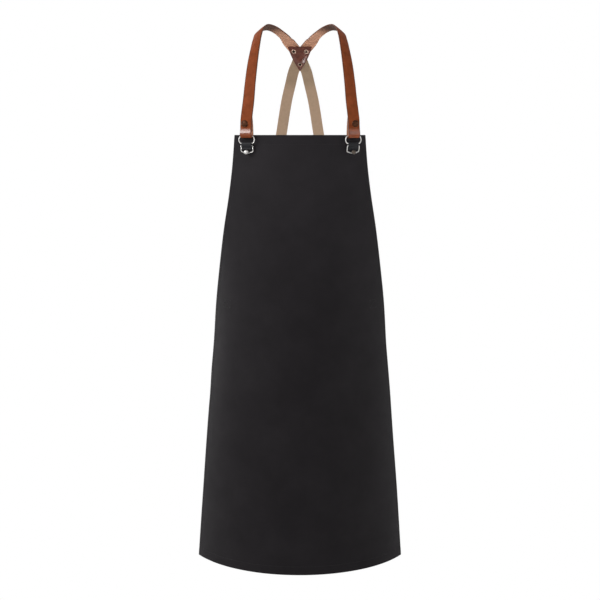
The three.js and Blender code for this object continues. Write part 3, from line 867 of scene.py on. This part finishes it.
def sewing_thread(cloth):
    """Waxed sewing thread: black and slightly shiny, twisted in fine turns."""
    material, tree, place = start_material("waxed sewing thread")
    twist = add_node(
        tree, "ShaderNodeTexWave", {"Vector": place, "Scale": bands(0.5)},
        bands_direction="DIAGONAL").outputs["Fac"]
    return finish_material(
        material, IOR=1.46, Roughness=0.55,
        Base_Color=mottled(tree, twist, 0, 1, cloth.thread_black, cloth.bloom))


def studio_paper(stage):
    """White background paper: matt, with a faint tooth."""
    material, tree, place = start_material("studio paper")
    tooth = add_node(tree, "ShaderNodeTexNoise", {"Vector": place, "Scale": per_metre(4), "Detail": 3})
    return finish_material(
        material, Base_Color=opaque(stage.paper), Roughness=0.9,
        Normal=add_node(tree, "ShaderNodeBump", {"Strength": 0.1, "Distance": 0.2 * MM, "Height": tooth}))


# Operators, one for each piece or group of like pieces


def closer_at_ends(share, pull=0.6):
    """Even shares from 0 to 1, moved closer together towards both ends."""
    return share - pull * math.sin(2 * math.pi * share) / (2 * math.pi)


def hem_relief(along, drop, cloth):
    """How far the cloth stands out beside its hems: rolled at the fold, drawn in at the stitches."""
    roll = 0.15
    dent = 0.12
    dent_reach = 1.8
    edges = (
        (section_arc(drop) - abs(along), cloth.hem_side),
        (drop, cloth.hem_end),
        (PANEL_LENGTH - drop, cloth.hem_end),
    )
    relief = 0
    for inside, hem in edges:
        seam = (hem - cloth.seam_inset) / MM
        relief += roll * bell(inside - seam / 2, seam * 0.45) - dent * bell(inside - seam, dent_reach)
    return relief


def cloth_ripple(along, drop, cloth):
    """Slow unevenness of hanging cloth."""
    wavelength = 85
    stray = noise.noise(Vector((along / wavelength, drop / (1.6 * wavelength), 0)))
    return stray * cloth.ripple / MM


def panel_places(cloth, depth=0.0):
    """Where the points of a sheet on the panel go, at a depth into the cloth in millimetres."""

    def place(across, drop):
        along = across * section_arc(drop)
        sink = depth - hem_relief(along, drop, cloth) - cloth_ripple(along, drop, cloth)
        return panel_point(across, drop, sink), (along * MM, drop * MM)

    return place


def hem_runs(cloth, depth, facing):
    """Lines of stitches along the four hems, on one face of the cloth."""
    pitch = cloth.pitch / MM
    bare_end = 2  # what each line leaves unsewn at its ends
    place = panel_places(cloth, depth)
    from_end = (cloth.hem_end - cloth.seam_inset) / MM
    from_side = (cloth.hem_side - cloth.seam_inset) / MM
    lines = []
    for drop in (from_end, PANEL_LENGTH - from_end):
        count = int(2 * (section_arc(drop) - bare_end) / pitch)
        lines.append([(-1 + 2 * (i + 0.5) / count, drop) for i in range(count)])
    count = int((PANEL_LENGTH - 2 * bare_end) / pitch)
    drops = [PANEL_LENGTH * (i + 0.5) / count for i in range(count)]
    for _, side in SIDES:
        lines.append([(side * (1 - from_side / section_arc(drop)), drop) for drop in drops])
    return [[(place(*spot)[0], panel_out(*spot) * facing) for spot in line] for line in lines]


def sewn_end_runs(cloth, side, depth, facing):
    """A boxed cross of stitches where a back strap's end is sewn inside the panel."""
    inset = 3
    half_high = BACK_STRAP_WIDTH / 2 - inset
    near, far = 0.765, 0.855  # across the panel
    corners = [(near, -half_high), (far, -half_high), (far, half_high), (near, half_high)]
    lines = [*zip(corners, corners[1:] + corners[:1]), (corners[0], corners[2]), (corners[1], corners[3])]
    arc = section_arc(WAIST_DROP)
    runs = []
    for (start, low), (end, high) in lines:
        reach = math.hypot((end - start) * arc, high - low)
        count = max(2, round(reach / (cloth.pitch / MM)))
        run = []
        for i in range(count):
            share = (i + 0.5) / count
            spot = (side * (start + (end - start) * share), WAIST_DROP + low + (high - low) * share)
            run.append((panel_point(*spot, depth), panel_out(*spot) * facing))
        runs.append(run)
    return runs


class APRON_OT_panel(bpy.types.Operator):
    """Model the cloth panel with its turned hems and its stitches"""

    bl_idname = "apron.panel"
    bl_label = "Cloth panel"
    columns = 150
    rows = 220

    def execute(self, context):
        cloth = context.scene.apron_cloth
        twill = waxed_twill(cloth)
        outer = panel_places(cloth)

        def panel_place(u, v):
            across = 2 * closer_at_ends(u) - 1
            return outer(across, PANEL_LENGTH * (1 - closer_at_ends(v)))

        panel = sheet(self.columns, self.rows, panel_place, [twill])
        finish_with(panel, "SOLIDIFY", thickness=cloth.wall, offset=-1)
        round_edges(panel, cloth.edge, segments=2, sharper_than=60)
        smooth(panel)
        dress(panel, "apron_panel_cloth", "black_waxed_twill", "apron_panel")

        hem = self.hem(cloth, twill)
        thread = sewing_thread(cloth)
        under_hem = (cloth.wall + cloth.hem_wall) / MM
        sewn_strap = PANEL_WALL + GAP + STRAP_WALL
        runs = hem_runs(cloth, 0, 1) + hem_runs(cloth, under_hem, -1)
        for _, side in SIDES:
            runs += sewn_end_runs(cloth, side, 0, 1)
            runs += sewn_end_runs(cloth, side, sewn_strap, -1)
        seam = stitches(runs, cloth.stitch, cloth.thread, thread)
        dress(seam, "panel_stitches", "black_waxed_twill")

        step = 10
        levels = range(0, PANEL_LENGTH, step)
        area = sum(2 * section_arc(level + step / 2) * step for level in levels) * MM * MM
        widest = 2 * section_arc(PANEL_LENGTH) * MM
        return {"FINISHED"}

    def hem(self, cloth, twill):
        """The turned-in layer along all four edges, inside the panel."""
        inner = panel_places(cloth, (cloth.wall + cloth.hem_wall / 2) / MM)
        end = cloth.hem_end / MM
        side_hem = cloth.hem_side / MM

        def end_place(top, u, v):
            return inner(2 * u - 1, top + end * (1 - v))

        def side_place(side, u, v):
            drop = end + (PANEL_LENGTH - 2 * end) * (1 - v)
            inside = side_hem * (u if side < 0 else 1 - u)
            return inner(side * (1 - inside / section_arc(drop)), drop)

        end_rows = 6
        side_columns = 4
        tops = (0, PANEL_LENGTH - end)
        strips = [sheet(self.columns, end_rows, partial(end_place, top), [twill]) for top in tops]
        strips += [sheet(side_columns, self.rows, partial(side_place, side), [twill]) for _, side in SIDES]
        hem = join(strips)
        finish_with(hem, "SOLIDIFY", thickness=cloth.hem_wall, offset=0)
        round_edges(hem, cloth.hem_edge, segments=2, sharper_than=60)
        smooth(hem)
        dress(hem, "panel_hem", "black_waxed_twill")
        return hem


class APRON_OT_shoulder_straps(bpy.types.Operator):
    """Model the two leather shoulder straps with their folded ends"""

    bl_idname = "apron.shoulder_straps"
    bl_label = "Shoulder straps"

    def execute(self, context):
        straps = context.scene.apron_straps
        finishes = [tan_grain(straps), flesh_side(straps), burnished_edge(straps)]
        for name, side in SIDES:
            rows = fold_rows(side) + route_rows(SHOULDER_ROUTE, side, STRAP_WIDTH)
            rows += patch_rows(SHOULDER_END, side, STRAP_WIDTH, 0)
            strap = strap_sheet(strap_stations(rows, side, step=1.4), straps.crown, finishes)
            trim_at_seam(strap, side)
            finish_with(
                strap, "SOLIDIFY", thickness=STRAP_WALL * MM, offset=0,
                material_offset=1, material_offset_rim=2)
            round_edges(strap, straps.edge, segments=3)
            rivet_hole(strap, RIVETS[0 if side < 0 else 1])
            snap_place = Vector((side * SNAP.outward, -BAR_OUT, SNAP.level)) * MM
            pin_hole(strap, SNAP.barrel_radius, clip_frame(side) @ Matrix.Translation(snap_place))
            smooth(strap)
            dress(strap, f"shoulder_strap_{name}_leather", "tan_leather", f"shoulder_strap_{name}")
        return {"FINISHED"}


class APRON_OT_back_straps(bpy.types.Operator):
    """Model the two cotton webbing straps that run from the patch to the waist"""

    bl_idname = "apron.back_straps"
    bl_label = "Back straps"

    def execute(self, context):
        straps = context.scene.apron_straps
        webbing = cotton_webbing(straps)
        for name, side in SIDES:
            rows = patch_rows(BACK_START, side, BACK_STRAP_WIDTH, 1)
            rows += route_rows(BACK_ROUTE, side, BACK_STRAP_WIDTH) + sewn_rows(side)
            strap = strap_sheet(strap_stations(rows, side, step=2), crown=0, materials=[webbing])
            trim_at_seam(strap, side)
            finish_with(strap, "SOLIDIFY", thickness=STRAP_WALL * MM, offset=0)
            round_edges(strap, straps.selvedge, segments=3)
            rivet_hole(strap, RIVETS[2])
            smooth(strap)
            dress(strap, f"back_strap_{name}_webbing", "beige_webbing", f"back_strap_{name}")
        return {"FINISHED"}


def quadratic(start, pull, end, share):
    return start.lerp(pull, share).lerp(pull.lerp(end, share), share)


def patch_outline(count):
    """Points at even steps round the patch: a triangle with rounded corners and two bellied sides."""
    spots = ((-PATCH.half_top, PATCH.top), (0, PATCH.tip), (PATCH.half_top, PATCH.top))
    corners = [Vector(spot) for spot in spots]
    bellies = [Vector((-2 * PATCH.belly, 0)), Vector((2 * PATCH.belly, 0)), Vector((0, 0))]
    fine = 40
    points = []
    for i, (corner, belly) in enumerate(zip(corners, bellies)):
        before = corners[i - 1]
        after = corners[(i + 1) % 3]
        start = corner + (before - corner).normalized() * PATCH.corner
        end = corner + (after - corner).normalized() * PATCH.corner
        next_start = after + (corner - after).normalized() * PATCH.corner
        pull = (end + next_start) / 2 + belly
        points += [quadratic(start, corner, end, k / fine) for k in range(fine)]
        points += [quadratic(end, pull, next_start, k / fine) for k in range(fine)]
    points.append(points[0])
    places = distances_along(points)
    outline = []
    for k in range(count + 1):
        place = places[-1] * k / count
        i = min(bisect_right(places, place) - 1, len(points) - 2)
        outline.append(points[i].lerp(points[i + 1], (place - places[i]) / (places[i + 1] - places[i])))
    return outline


class APRON_OT_patch(bpy.types.Operator):
    """Model the riveted leather patch between the shoulder blades"""

    bl_idname = "apron.patch"
    bl_label = "Back patch"

    def execute(self, context):
        straps = context.scene.apron_straps
        around = 132
        rings = 26
        crown = 3.2
        seat = 0.25  # how far the leather stands out under the rivets
        seat_reach = 6
        outline = patch_outline(around)
        middle = Vector((0, -10))

        def place(u, v):
            spot = middle.lerp(outline[round(u * around)], 1 - v)
            lift = crown * v * v * (3 - 2 * v)
            for rivet in RIVETS:
                lift += (seat - lift) * bell((spot - Vector(rivet)).length, seat_reach)
            return Vector((spot.x, -PATCH.wall / 2 - lift, spot.y)) * MM, spot * MM

        leather = waxed_leather("waxed brown leather", straps.patch, straps.patch_dark, shine=1)
        patch = sheet(around, rings, place, [leather, burnished_edge(straps)])
        edit(patch)
        bpy.ops.mesh.remove_doubles(threshold=0.01 * MM)
        bpy.ops.mesh.normals_make_consistent(inside=False)
        done()
        finish_with(patch, "SOLIDIFY", thickness=PATCH.wall * MM, offset=0, material_offset_rim=1)
        round_edges(patch, straps.patch_edge, segments=3)
        settle(patch, patch_frame())
        for rivet in RIVETS:
            rivet_hole(patch, rivet)
        smooth(patch)
        dress(patch, "cross_patch_leather", "brown_leather", "cross_patch")
        return {"FINISHED"}


class APRON_OT_rivets(bpy.types.Operator):
    """Turn the hollow rivets of the patch"""

    bl_idname = "apron.rivets"
    bl_label = "Rivets"

    def execute(self, context):
        metal = context.scene.apron_metal
        copper = plated_metal("dulled copper plate", metal.copper, metal.brass)
        film = plated_metal("dark copper film", metal.patina, roughness=0.5)
        front = -PATCH.wall - GAP
        lip = RIVET.rim_wall
        for i, spot in enumerate(RIVETS):
            layers = 2 if spot.across == 0 else 1
            back = layers * (STRAP_WALL + GAP) + GAP
            profile = [
                (0, back), (RIVET.bore, back), (RIVET.bore, front),
                (RIVET.bore + 0.1, front - 0.55 * lip), (RIVET.bore + 0.5, front - 0.9 * lip),
                (RIVET.bore + 1.1, front - lip), (RIVET.rim - 0.9, front - 0.8 * lip),
                (RIVET.rim - 0.2, front - 0.4 * lip), (RIVET.rim, front + 0.1 * lip),
                (RIVET.barrel, front + 0.1 * lip), (RIVET.barrel, back), (RIVET.head, back),
                (0.9 * RIVET.head, back + 0.5 * RIVET.head_rise),
                (0.6 * RIVET.head, back + 0.85 * RIVET.head_rise), (0, back + RIVET.head_rise),
            ]
            rivet = turned(profile, copper, sides=36)
            rivet.data.materials.append(film)
            for face in rivet.data.polygons:
                within = math.hypot(face.center.x, face.center.z) < RIVET.bore * MM
                hollow = front - lip / 2 < face.center.y / MM < back + 0.1
                face.material_index = int(within and hollow)
            settle(rivet, rivet_frame(spot))
            dress(rivet, f"patch_rivet_{i + 1}_plate", "aged_copper", f"patch_rivet_{i + 1}")
        return {"FINISHED"}


def on_both_clips(piece, name, slot, node, place):
    """Puts a piece on the left clip and its copy on the right one. place is in millimetres."""
    pair = (piece, copy_of(piece))
    for (side_name, side), one in zip(SIDES, pair):
        settle(one, clip_frame(side) @ Matrix.Translation(Vector((side * place.x, place.y, place.z)) * MM))
        dress(one, f"{name}_{side_name}", slot, f"{node}_{side_name}")
    return pair


class APRON_OT_snaps(bpy.types.Operator):
    """Turn the snaps that hold the straps' folded ends"""

    bl_idname = "apron.snaps"
    bl_label = "Snaps"

    def execute(self, context):
        metal = context.scene.apron_metal
        brass = plated_metal("antiqued brass", metal.brass, metal.patina, roughness=0.3)
        between = LAYER_OUT - STRAP_WALL / 2
        stack = LAYER_OUT + STRAP_WALL / 2
        cap = SNAP.cap_radius
        rise = SNAP.cap_height + GAP
        plate = stack + SNAP.socket_wall
        profile = [
            (0, -stack - rise), (0.35 * cap, -stack - 0.97 * rise), (0.6 * cap, -stack - 0.88 * rise),
            (0.7 * cap, -stack - 0.74 * rise), (0.78 * cap, -stack - 0.82 * rise),
            (0.92 * cap, -stack - 0.66 * rise), (cap, -stack - 0.3 * rise), (0.97 * cap, -stack),
            (SNAP.barrel_radius, -stack), (SNAP.barrel_radius, -between), (SNAP.socket_radius, -between),
            (SNAP.socket_radius, between), (SNAP.barrel_radius, between), (SNAP.barrel_radius, stack),
            (SNAP.socket_radius, stack), (SNAP.socket_radius, plate), (0, plate),
        ]
        place = Vector((SNAP.outward, -BAR_OUT, SNAP.level))
        on_both_clips(turned(profile, brass), "strap_snap_cap", "dark_brass", "strap_snap", place)
        return {"FINISHED"}


class APRON_OT_rings(bpy.types.Operator):
    """Bend the six-sided rings and the square hook loops"""

    bl_idname = "apron.rings"
    bl_label = "Rings and loops"

    def execute(self, context):
        metal = context.scene.apron_metal
        nickel = plated_metal("nickel plate", metal.nickel, metal.nickel_dull)
        half = RING.height / 2
        hexagon = [
            (-RING.half_bar, half), (RING.half_bar, half), (RING.half_waist, 0),
            (RING.half_bar, -half), (-RING.half_bar, -half), (-RING.half_waist, 0),
        ]
        ring = bent_wire(hexagon, RING.corner, RING.wire, nickel)
        middle = Vector((0, -BAR_OUT, RING.top_level - half))
        on_both_clips(ring, "strap_ring_wire", "nickel", "strap_ring", middle)

        square = [
            (-LOOP.half_width, 0), (LOOP.half_width, 0), (LOOP.half_width, -LOOP.side_height),
            (0, -LOOP.side_height - LOOP.dip), (-LOOP.half_width, -LOOP.side_height),
        ]
        loop = bent_wire(square, LOOP.corner, LOOP.wire, nickel)
        settle(loop, Matrix.Rotation(math.radians(LOOP.tilt), 4, "X"))
        on_both_clips(loop, "hook_loop_wire", "nickel", "hook_loop", Vector((0, -BAR_OUT, LOOP.top_level)))
        return {"FINISHED"}


class APRON_OT_tabs(bpy.types.Operator):
    """Fold the short leather tabs between the rings and the loops"""

    bl_idname = "apron.tabs"
    bl_label = "Link tabs"

    def execute(self, context):
        straps = context.scene.apron_straps
        ring_level = RING.top_level - RING.height
        ring_reach = RING.wire / 2 + GAP + TAB.wall / 2
        loop_reach = LOOP.wire / 2 + GAP + TAB.wall / 2
        leaf_gap = 0.2
        shut = (TAB.wall + leaf_gap) / 2
        front = [
            (-shut, TAB.end_level), (-shut, LOOP.top_level - TAB.close_below), (-loop_reach, LOOP.top_level),
            (-ring_reach, ring_level),
        ]
        over = [
            (-ring_reach * math.cos(turn), ring_level + ring_reach * math.sin(turn))
            for turn in (math.radians(angle) for angle in range(30, 180, 30))
        ]
        route = front + over + [(-out, level) for out, level in reversed(front)]
        places = distances_along(route)
        at = smooth_table(places, route)

        def place(u, v):
            run = places[-1] * v
            out, level = at(run)
            along = TAB.width * (u - 0.5)
            return Vector((along, out, level)) * MM, (along * MM, run * MM)

        leather = waxed_leather("black leather", straps.tab)
        tab = sheet(columns=10, rows=80, place=place, materials=[leather])
        finish_with(tab, "SOLIDIFY", thickness=TAB.wall * MM, offset=0)
        round_edges(tab, straps.tab_edge, segments=2)
        smooth(tab)
        on_both_clips(tab, "link_tab_leather", "black_leather", "link_tab", Vector((0, -BAR_OUT, 0)))
        return {"FINISHED"}


class APRON_OT_studs(bpy.types.Operator):
    """Turn the ball studs that carry the bib"""

    bl_idname = "apron.studs"
    bl_label = "Bib studs"

    def execute(self, context):
        metal = context.scene.apron_metal
        nickel = plated_metal("nickel ball", metal.nickel, metal.nickel_dull, roughness=0.48)
        ball = STUD.ball_radius
        neck_turn = math.pi - math.asin(STUD.neck_radius / ball)
        steps = 20
        turns = [neck_turn * i / steps for i in range(steps + 1)]
        profile = [(ball * math.sin(turn), -STUD.ball_out - ball * math.cos(turn)) for turn in turns]
        rim, front = STUD.plate_radius, STUD.plate_back
        back = front + STUD.plate_wall
        rounding = 0.3
        profile += [
            (STUD.neck_radius, front), (rim - rounding, front), (rim, front + rounding),
            (rim, back - rounding), (rim - rounding, back), (0, back),
        ]
        stud = turned(profile, nickel)
        pair = on_both_clips(stud, "bib_stud_ball", "nickel", "bib_stud", Vector((0, 0, STUD.level)))
        # Painted shade: the right stud gets a darker copy of the same nickel, standing in for the shade on
        # the right.
        shaded = plated_metal("smoked nickel", metal.shaded, metal.patina, roughness=0.22)
        pair[1].data.materials[0] = shaded
        return {"FINISHED"}


# The stage, in metres. spread is how wide a lamp's grid lets its light fan out, in degrees.
Lamp = namedtuple("Lamp", "name place target size spread")
CLOTH_MIDDLE = (0, 0, -0.5)
STRAPS_MIDDLE = (0, 0, -0.08)
CLOTH_EDGE = (-0.15, 0, -0.3)
LAMPS = (
    Lamp("key", (-2.2, -1.4, 1), CLOTH_MIDDLE, 1.3, 180),
    Lamp("fill", (2.7, -1.4, 0.2), CLOTH_MIDDLE, 2.6, 180),
    Lamp("front", (-0.2, -2.45, 0.45), STRAPS_MIDDLE, 0.8, 14),
    Lamp("low", (0.5, -2.2, -1.2), STRAPS_MIDDLE, 0.5, 12),
    Lamp("gleam", (0.69, 0.15, -1.5), STRAPS_MIDDLE, 0.6, 14),
    Lamp("rim", (-2, 1.3, -0.2), CLOTH_EDGE, 1, 60),
)
FLOOR_SIZE = 9
FLOOR_MIDDLE = -2.1
CAMERA_PLACE = (0, -2.538, -0.218)
CAMERA_PITCH = -7.71
CAMERA_LENS = 73.14


class APRON_OT_stage(bpy.types.Operator):
    """Set the white floor, the soft lights and the camera"""

    bl_idname = "apron.stage"
    bl_label = "Stage"

    def execute(self, context):
        stage = context.scene.apron_stage
        bpy.ops.mesh.primitive_plane_add(size=FLOOR_SIZE, location=(0, FLOOR_MIDDLE, stage.floor_level))
        floor = context.object
        floor.name = "floor"
        floor.data.materials.append(studio_paper(stage))
        for lamp in LAMPS:
            self.light(context, lamp, getattr(stage, lamp.name))
        self.surround(context, stage)
        self.camera(context)
        context.scene.view_settings.view_transform = "Standard"
        return {"FINISHED"}

    def light(self, context, lamp, power):
        """A square soft box that no camera sees."""
        bpy.ops.object.light_add(type="AREA", location=lamp.place)
        box = context.object
        box.name = lamp.name
        box.data.size = lamp.size
        box.data.spread = math.radians(lamp.spread)
        box.data.energy = power
        box.visible_camera = False
        box.rotation_euler = (Vector(lamp.target) - Vector(lamp.place)).to_track_quat("-Z", "Y").to_euler()

    def surround(self, context, stage):
        """White walls, which the camera sees at full white, the apron as light mostly from behind it, and
        its metal and wax as brighter than that, on the left most of all, as walls close by are."""
        world = bpy.data.worlds.new("white walls")
        world.use_nodes = True
        tree = world.node_tree
        tree.nodes.clear()
        ray = add_node(tree, "ShaderNodeLightPath", {})
        way = add_node(tree, "ShaderNodeTexCoord", {}).outputs["Generated"]
        sides = add_node(tree, "ShaderNodeSeparateXYZ", {"Vector": way})
        walls = add_node(
            tree, "ShaderNodeMapRange",
            {"Value": sides.outputs["Y"], "From Min": -0.6, "From Max": 0.8,
             "To Min": stage.front_wall, "To Max": stage.back_wall})
        mirrored = add_node(
            tree, "ShaderNodeMapRange",
            {"Value": sides.outputs["X"], "From Min": -0.4, "From Max": 0.4,
             "To Min": stage.left_mirrored, "To Max": stage.right_mirrored})
        shine = add_node(
            tree, "ShaderNodeMapRange",
            {"Value": ray.outputs["Is Glossy Ray"], "To Min": 1, "To Max": mirrored})
        glow = add_node(tree, "ShaderNodeMath", {0: walls, 1: shine}, operation="MULTIPLY")
        strength = add_node(
            tree, "ShaderNodeMapRange", {"Value": ray.outputs["Is Camera Ray"], "To Min": glow, "To Max": 1})
        light = add_node(
            tree, "ShaderNodeBackground", {"Color": (1, 1, 1, 1), "Strength": strength})
        add_node(tree, "ShaderNodeOutputWorld", {"Surface": light})
        context.scene.world = world

    def camera(self, context):
        """Level with the bib's top edge and looking slightly down, as in the photograph."""
        bpy.ops.object.camera_add(location=CAMERA_PLACE, rotation=(math.radians(90 + CAMERA_PITCH), 0, 0))
        camera = context.object
        camera.data.lens = CAMERA_LENS
        context.scene.camera = camera


class APRON_PT_dresser(bpy.types.Panel):
    """Lists the pieces and their settings"""

    bl_label = "Bib apron"
    bl_idname = "APRON_PT_dresser"
    bl_space_type = "VIEW_3D"
    bl_region_type = "UI"
    bl_category = "Apron"

    def draw(self, context):
        for operator in OPERATORS:
            self.layout.operator(operator.bl_idname)
        for name in SETTINGS:
            group = getattr(context.scene, name)
            box = self.layout.box()
            for setting in group.__annotations__:
                box.prop(group, setting)


OPERATORS = (
    APRON_OT_panel, APRON_OT_shoulder_straps, APRON_OT_back_straps, APRON_OT_patch, APRON_OT_rivets,
    APRON_OT_snaps, APRON_OT_rings, APRON_OT_tabs, APRON_OT_studs, APRON_OT_stage,
)
SETTINGS = {
    "apron_cloth": ApronCloth,
    "apron_straps": ApronStraps,
    "apron_metal": ApronMetal,
    "apron_stage": ApronStage,
}
CLASSES = (*SETTINGS.values(), *OPERATORS, APRON_PT_dresser)


def register():
    for cls in CLASSES:
        bpy.utils.register_class(cls)
    for name, group in SETTINGS.items():
        setattr(bpy.types.Scene, name, PointerProperty(type=group))


def unregister():
    for name in SETTINGS:
        delattr(bpy.types.Scene, name)
    for cls in reversed(CLASSES):
        bpy.utils.unregister_class(cls)


def main():
    register()
    bpy.ops.apron.panel()
    bpy.ops.apron.shoulder_straps()
    bpy.ops.apron.back_straps()
    bpy.ops.apron.patch()
    bpy.ops.apron.rivets()
    bpy.ops.apron.snaps()
    bpy.ops.apron.rings()
    bpy.ops.apron.tabs()
    bpy.ops.apron.studs()
    bpy.ops.apron.stage()


if __name__ == "__main__":
    main()
